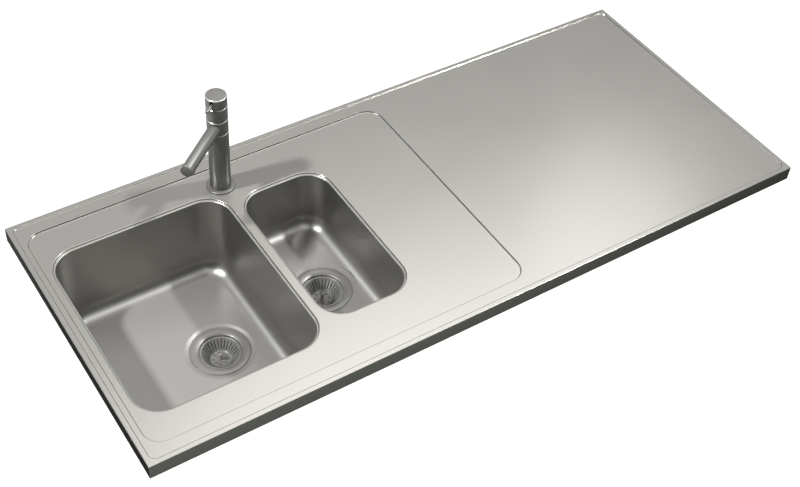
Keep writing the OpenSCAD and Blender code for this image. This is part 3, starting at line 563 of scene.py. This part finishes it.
# Strainers. A pressed basket with a rolled rim rests in each waste. Slots are punched down its side
# and holes in its bottom, and a knob screwed through the bottom holds the rubber that closes the outlet.
strainer_r = 0.0388
rim_top = 0.0067
rim_low = 0.0077
side_top_r = 0.0362
rim_in_r = 0.0353
strainer_low_r = 0.020
strainer_low = 0.027
strainer_t = 0.001
strainer_low_round = 0.0015
strainer_in_round = 0.0012
neck_round = 0.0005
neck_in_round = 0.0004
rim_low_round = 0.0003
rim_top_round = 0.0004
rim_in_round = 0.0008
slot_count = 30
slot_w = 0.002
slot_from = 0.0215
slot_to = 0.0345
slot_margin = 0.002
slot_end = 0.49
hole_count = 8
hole_ring_r = 0.014
hole_r = 0.0018
hole_punch_h = 0.004
knob_thread_r = 0.0026
knob_thread_z = 0.034
knob_thread_round = 0.0003
post_r = 0.0036
post_round = 0.0006
knob_r = 0.0055
knob_h = 0.018
knob_throat_h = 0.002
knob_low_round = 0.0012
knob_top_round = 0.0018
knob_taper = 0.98


def prism(bm, low, high, radius, steps=6):
    """A block whose upright corners are round."""
    before = set(bm.verts)
    skin = blank(bm, low, high, radius, steps)
    raised = bmesh.ops.extrude_face_region(bm, geom=[skin])["geom"]
    top = [part for part in raised if isinstance(part, bmesh.types.BMVert)]
    bmesh.ops.translate(bm, vec=(0, 0, high.z - low.z), verts=top)
    return list(set(bm.verts) - before)


for size in ("main", "small"):
    drain = drain_centre[size]
    place_it = Matrix.Translation((drain.x, drain.y, floor_z[size]))
    base = -strainer_low + strainer_t
    basket = turned([(0, -strainer_low, 0), (strainer_low_r, -strainer_low, strainer_low_round),
                     (side_top_r, -rim_low - strainer_t, neck_round), (side_top_r, -rim_low, 0),
                     (strainer_r, -rim_low, rim_low_round), (strainer_r, -rim_top, rim_top_round),
                     (rim_in_r, -rim_top, rim_in_round), (rim_in_r, -rim_low - strainer_t, neck_in_round),
                     (strainer_low_r - strainer_t, base, strainer_in_round), (0, base, 0)])
    basket.transform(place_it)
    piece = add_piece(basket, size + "_basket_shell", size + "_basket",
                      [size + "_strainer"], [waste_steel])
    punches = bmesh.new()
    for k in range(slot_count):
        slot = prism(punches, Vector((slot_from, -slot_w / 2, -strainer_low - slot_margin)),
                     Vector((slot_to, slot_w / 2, -rim_low - slot_margin)), slot_w * slot_end)
        turn = Matrix.Rotation(math.tau * k / slot_count, 3, "Z")
        bmesh.ops.rotate(punches, cent=(0, 0, 0), matrix=turn, verts=slot)
    for k in range(hole_count):
        punch = bmesh.ops.create_cone(punches, cap_ends=True, segments=24, radius1=hole_r, radius2=hole_r,
                                      depth=hole_punch_h)["verts"]
        angle = math.tau * (k + 0.5) / hole_count
        bmesh.ops.translate(punches, verts=punch, vec=(hole_ring_r * math.cos(angle),
                                                       hole_ring_r * math.sin(angle), -strainer_low))
    bmesh.ops.recalc_face_normals(punches, faces=punches.faces)
    punches.transform(place_it)
    combine(piece, punches, "DIFFERENCE")
    knob_low = base + knob_h - knob_r
    knob = turned([(0, -knob_thread_z, 0), (knob_thread_r, -knob_thread_z, knob_thread_round),
                   (knob_thread_r, base, 0), (post_r, base, 0),
                   (post_r, knob_low - knob_throat_h, post_round), (knob_r, knob_low, knob_low_round),
                   (knob_r * knob_taper, base + knob_h - knob_throat_h, knob_top_round),
                   (0, base + knob_h, 0)], steps=48)
    knob.transform(place_it)
    add_piece(knob, size + "_knob", size + "_basket", [size + "_strainer_knob"],
              [waste_steel])
    dress(rubber, size + "_strainer_seal")
    dress(waste_steel, size + "_strainer_nut")

# Tap foot. The plated base ring stands on the worktop over a rubber seal, and a brass shank, a nut
# and two washers clamp it from below.
base_ring_r = 0.0274
base_ring_h = 0.004
base_ring_round = 0.0013
foot_round = 0.0003
shank_gap_r = 0.0168
chrome_grain = (120, 120, 3)
chrome_glare = 0.35

# The level tops take a lit satin and the upright sides a darker mirror, which is painted light and shade.
chrome = facing_painted_metal("tap_chrome", satin=((0.165, 0.161, 0.154), 0.45), bright=((0.19, 0.189, 0.180), 0.70),
                  turn=(0.93, 0.99), roughness=0.36, grain=chrome_grain)
dull_glare(chrome, chrome_glare)
brass, shader, place = new_material("brass", (0.72, 0.55, 0.28), metallic=1, roughness=0.3)
rings = place.noise((60, 60, 2500))
(rings * 0.2 + 0.3).feed(shader, "Roughness")
zinc, shader, place = new_material("zinc_steel", (0.55, 0.56, 0.58), metallic=1, roughness=0.35)
(place.noise((220, 220, 220)) * 0.25 + 0.35).feed(shader, "Roughness")
on_axis = Matrix.Translation((tap_axis.x, tap_axis.y, 0))

ring_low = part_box("tap_base_ring")[0].z
ring_top = ring_low + base_ring_h
ring = turned([(shank_gap_r, ring_low, 0), (base_ring_r, ring_low, foot_round),
               (base_ring_r, ring_top, base_ring_round), (shank_gap_r, ring_top, 0)])
ring.transform(on_axis)
add_piece(ring, "base_ring", "worktop", ["tap_base_ring"], [chrome])
dress(rubber, "tap_base_seal", "tap_rubber_washer")
dress(brass, "tap_shank", "tap_nut")
dress(zinc, "tap_clamp_plate")

# Tap column. A chromed brass tube carries the neck on which the collar swivels, with two low
# friction washers and two seals between them.
tap_r = 0.020
neck_r = 0.015
seam = 0.0004
edge_bevel = 0.0013
foot_bevel = 0.0008
bevel_share = 0.7
# Painted highlight: a lighter metal than the chrome, for the seams' bevels whose facing lies between
# these limits.
bevel_highlight_tone = ((0.46, 0.45, 0.43), 0.5)
highlight_from = 0.5
highlight_to = 0.97
collar_low, collar_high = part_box("spout_collar")
column_z = collar_low.z - seam


def bevelled(radius, z, width):
    """Corners of an upper edge with a low bevel, which catches the light."""
    return [(radius, z - width * bevel_share, width / 5), (radius - width, z, width / 5)]


def eased_foot(radius, z, width):
    """Corners of a lower edge with a bevel, so that the seam under it lies open."""
    return [(radius - width, z, width / 5), (radius, z + width, width / 5)]


def paint_bevel_highlights(bm):
    """Paints a highlight on the bevels that look up, by giving them a lighter metal than the chrome."""
    for face in bm.faces:
        face.material_index = int(highlight_from < face.normal.z < highlight_to)


# The seams' painted highlight.
bevel_highlight_metal = facing_painted_metal("painted_bevel_highlight", satin=bevel_highlight_tone, bright=bevel_highlight_tone, turn=(0.1, 0.8), roughness=0.34,
                  grain=chrome_grain)
column = turned([(0, column_low.z, 0), (tap_r, column_low.z, foot_round)]
                + bevelled(tap_r, column_z, edge_bevel)
                + [(neck_r, column_z, 0), (neck_r, column_high.z, foot_round), (0, column_high.z, 0)])
column.transform(on_axis)
paint_bevel_highlights(column)
add_piece(column, "column", "worktop", ["tap_body"], [chrome, bevel_highlight_metal])
dress(plastic, "swivel_washers")
dress(rubber, "swivel_orings")

# Spout. The collar turns on the neck and carries a straight tube, brazed into its side and closed
# by a flat cap, with an aerator in the tube's underside.
spout_axis_up = 0.0132
spout_turn = 49.5
spout_rise = 2.5
spout_r = 0.0117
spout_l = 0.142
spout_root = 0.0158
tube_wall = 0.0012
tube_round = 0.0002
end_cap_t = 0.003
end_plug_l = 0.003
end_round = 0.0006
collar_in_r = 0.01505
aerator_r = 0.00855
aerator_back = 0.016

collar = turned([(collar_in_r, collar_low.z, 0)] + eased_foot(tap_r, collar_low.z, foot_bevel)
                + bevelled(tap_r, collar_high.z, edge_bevel) + [(collar_in_r, collar_high.z, 0)])
collar.transform(on_axis)
paint_bevel_highlights(collar)
add_piece(collar, "collar", "spout", ["spout_collar"], [chrome, bevel_highlight_metal])
along_spout = (Matrix.Translation((tap_axis.x, tap_axis.y, column_z + spout_axis_up))
               @ Matrix.Rotation(math.radians(-90 - spout_turn), 4, "Z")
               @ Matrix.Rotation(math.radians(90 - spout_rise), 4, "Y"))
tube_end = spout_l - end_cap_t
tube_in_r = spout_r - tube_wall
tube = turned([(tube_in_r, spout_root, 0), (spout_r, spout_root, 0), (spout_r, tube_end, tube_round),
               (tube_in_r, tube_end, 0)])
tube.transform(along_spout)
piece = add_piece(tube, "tube", "spout", ["spout_tube"], [chrome])
outlet = turned([(0, 0, 0), (aerator_r, 0, 0), (aerator_r, 2 * spout_r, 0), (0, 2 * spout_r, 0)],
                steps=64)
outlet.transform(along_spout @ Matrix.Translation((0, 0, spout_l - aerator_back))
                 @ Matrix.Rotation(math.radians(90), 4, "Y"))
combine(piece, outlet, "DIFFERENCE")
end_cap = turned([(0, tube_end - end_plug_l, 0), (tube_in_r, tube_end - end_plug_l, 0),
                  (tube_in_r, tube_end, 0), (spout_r, tube_end, tube_round),
                  (spout_r, spout_l, end_round), (0, spout_l, 0)])
end_cap.transform(along_spout)
add_piece(end_cap, "end_cap", "spout", ["spout_end_cap"], [chrome])
aerator, shader, place = new_material("aerator_plastic", (0.16, 0.16, 0.16), metallic=0, roughness=0.45)
(place.noise((200, 200, 200)) * 0.2 + 0.45).feed(shader, "Roughness")
dress(aerator, "spout_aerator")

# Valve. A ceramic cartridge mixes and stops the water. It sits on rubber seals inside a chromed
# ring that is screwed on the neck, and a brass nut holds it down.
housing_in_r = 0.0175
housing_low, housing_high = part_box("cartridge_housing")
housing = turned([(housing_in_r, housing_low.z, 0)] + eased_foot(tap_r, housing_low.z, foot_bevel)
                 + bevelled(tap_r, housing_high.z, edge_bevel) + [(housing_in_r, housing_high.z, 0)])
housing.transform(on_axis)
paint_bevel_highlights(housing)
add_piece(housing, "housing_ring", "worktop", ["cartridge_housing"], [chrome, bevel_highlight_metal])
ceramic, shader, place = new_material("ceramic", (0.82, 0.82, 0.80), metallic=0, roughness=0.25)
(place.noise((120, 120, 120)) * 0.1 + 0.25).feed(shader, "Roughness")
dress(ceramic, "cartridge")
dress(rubber, "cartridge_seals")
dress(brass, "cartridge_nut")

# Handle. A chromed cap, fixed to the brass stem by a grub screw at its back, turns for the
# temperature, and a round pin through its slot lifts for the flow.
lever_turn = 52
lever_lift = 15
lever_axis_up = 0.0106
lever_r = 0.0034
lever_l = 0.040
lever_root = 0.0046
lever_round = 0.0006
lever_root_round = 0.0003
lever_taper_l = 0.0008
lever_tail = 0.0022
lever_tail_r = 0.0018
slot_free = 0.0003
slot_corner = 0.99
slot_depth_from = 0.010
cap_wall = 0.002
cap_bevel = 0.0013

cap_low, cap_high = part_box("handle_cap")
lever_z = cap_low.z + lever_axis_up
cap_roof = cap_high.z - cap_wall
cap = turned([(0, cap_roof, 0), (housing_in_r, cap_roof, 0), (housing_in_r, cap_low.z, 0)]
             + eased_foot(tap_r, cap_low.z, foot_bevel) + bevelled(tap_r, cap_high.z, cap_bevel)
             + [(0, cap_high.z, 0)])
cap.transform(on_axis)
paint_bevel_highlights(cap)
piece = add_piece(cap, "cap", "handle", ["handle_cap"], [chrome, bevel_highlight_metal])
slot_r = lever_r + slot_free
slot_rise = tap_r * math.tan(math.radians(lever_lift))
slot = bmesh.new()
prism(slot, Vector((-slot_r - slot_rise, -slot_r, slot_depth_from)), Vector((slot_r, slot_r, 2 * tap_r)),
      slot_r * slot_corner, steps=12)
bmesh.ops.recalc_face_normals(slot, faces=slot.faces)
along_lever = (Matrix.Translation((tap_axis.x, tap_axis.y, lever_z))
               @ Matrix.Rotation(math.radians(-90 - lever_turn), 4, "Z")
               @ Matrix.Rotation(math.radians(90), 4, "Y"))
slot.transform(along_lever)
combine(piece, slot, "DIFFERENCE")
pin = turned([(0, lever_tail, 0), (lever_tail_r, lever_tail, 0), (lever_tail_r, lever_root, 0),
              (lever_r, lever_root + lever_taper_l, lever_root_round), (lever_r, lever_l, lever_round),
              (0, lever_l, 0)], steps=48)
pin.transform(along_lever)
add_piece(pin, "lever", "lever", ["lever_pin"], [chrome])
dress(brass, "handle_stem", "lever_knuckle")
dress(zinc, "handle_screw", "lever_pivot")

# Studio. A pale round floor whose rim rises into a low backdrop, and a dim world with two bright
# areas, high behind the drainer and over the front, which the steel reflects. Three lamps cast
# the shadows, and the camera looks from the photograph's angle.
ground_z = -0.87
ground_r = 30
backdrop_h = 6
pale_strength = 0.97
window = (0.350, 0.300, 0.887)
front = (0.05, -0.43, 0.90)
eye = Vector((-1.09048, -1.43710, 1.76878))
azimuth = 36.417
elevation = 46.044
roll = 4.823
lens = 59.16

bm = bmesh.new()
bmesh.ops.create_circle(bm, cap_ends=True, radius=ground_r, segments=64)
rim = [edge for edge in bm.edges if edge.is_boundary]
wall = bmesh.ops.extrude_edge_only(bm, edges=rim)["geom"]
wall_verts = [part for part in wall if isinstance(part, bmesh.types.BMVert)]
bmesh.ops.translate(bm, vec=(0, 0, backdrop_h), verts=wall_verts)
bmesh.ops.translate(bm, vec=(0, 0, ground_z), verts=bm.verts)
mesh = bpy.data.meshes.new("floor")
bm.to_mesh(mesh)
bm.free()
floor = bpy.data.objects.new("floor", mesh)
bpy.context.scene.collection.objects.link(floor)
pale, shader, place = new_material("pale_floor", (0.18, 0.18, 0.18), metallic=0, roughness=0.9)
shader.inputs["Emission Color"].default_value = (1, 1, 1, 1)
seen = place.node("LightPath", {}, {}, "Is Camera Ray") + place.node("LightPath", {}, {}, "Is Glossy Ray")
seen = seen + place.node("LightPath", {}, {}, "Is Transmission Ray")
(seen * pale_strength).feed(shader, "Emission Strength")
mesh.materials.append(pale)

world = bpy.data.worlds.new("studio")
bpy.context.scene.world = world
world.use_nodes = True
sky = world.node_tree.nodes["Background"]
place = Shade(world.node_tree, world.node_tree.nodes.new("ShaderNodeTexCoord").outputs["Generated"])


def bright_area(towards, stops):
    """The world's brightness round a direction. The stops run from behind it to right at it."""
    facing = place.node("VectorMath", {"operation": "DOT_PRODUCT"}, {0: place, 1: towards}, "Value")
    return facing.node("ValToRGB", {"stops": stops}, {"Fac": facing})


tone = bright_area(window, [(0.0, (0.08, 0.08, 0.08)), (0.935, (0.10, 0.10, 0.098)),
                            (0.97, (4.2, 4.2, 4.12)), (1.0, (4.4, 4.4, 4.32))])
glow = bright_area(front, [(0.0, (0.0, 0.0, 0.0)), (0.90, (0.0, 0.0, 0.0)),
                           (0.95, (1.4, 1.4, 1.37)), (1.0, (1.5, 1.5, 1.47))])
tone.blended("ADD", glow).feed(sky, "Color")
sky.inputs["Strength"].default_value = 1.0


def lamp(name, target, azimuth, elevation, distance, size, power):
    """A square lamp that faces a target, azimuth turning from +X towards +Y."""
    light = bpy.data.lights.new(name, "AREA")
    light.shape = "SQUARE"
    light.size = size
    light.energy = power
    made = bpy.data.objects.new(name, light)
    a = math.radians(azimuth)
    e = math.radians(elevation)
    away = Vector((math.cos(a) * math.cos(e), math.sin(a) * math.cos(e), math.sin(e)))
    made.location = target + away * distance
    made.rotation_mode = "QUATERNION"
    made.rotation_quaternion = away.to_track_quat("Z", "Y")
    bpy.context.scene.collection.objects.link(made)


foot = Vector((tap_axis.x, tap_axis.y, zone_z))
work_middle = Vector((0.30, -0.20, 0))
lamp("left_lamp", foot, azimuth=171, elevation=56, distance=4.0, size=0.25, power=240)
lamp("right_lamp", foot, azimuth=-15, elevation=55, distance=8.0, size=0.45, power=570)
lamp("back_lamp", work_middle, azimuth=41, elevation=44, distance=4.0, size=0.7, power=2.5)

camera_data = bpy.data.cameras.new("camera")
camera_data.lens = lens
camera_data.sensor_width = 36
camera = bpy.data.objects.new("camera", camera_data)
camera.matrix_world = (Matrix.Translation(eye) @ Matrix.Rotation(math.radians(-azimuth), 4, "Z")
                       @ Matrix.Rotation(math.radians(90 - elevation), 4, "X")
                       @ Matrix.Rotation(math.radians(roll), 4, "Z"))
bpy.context.scene.collection.objects.link(camera)
bpy.context.scene.camera = camera
bpy.context.scene.view_settings.view_transform = "Standard"
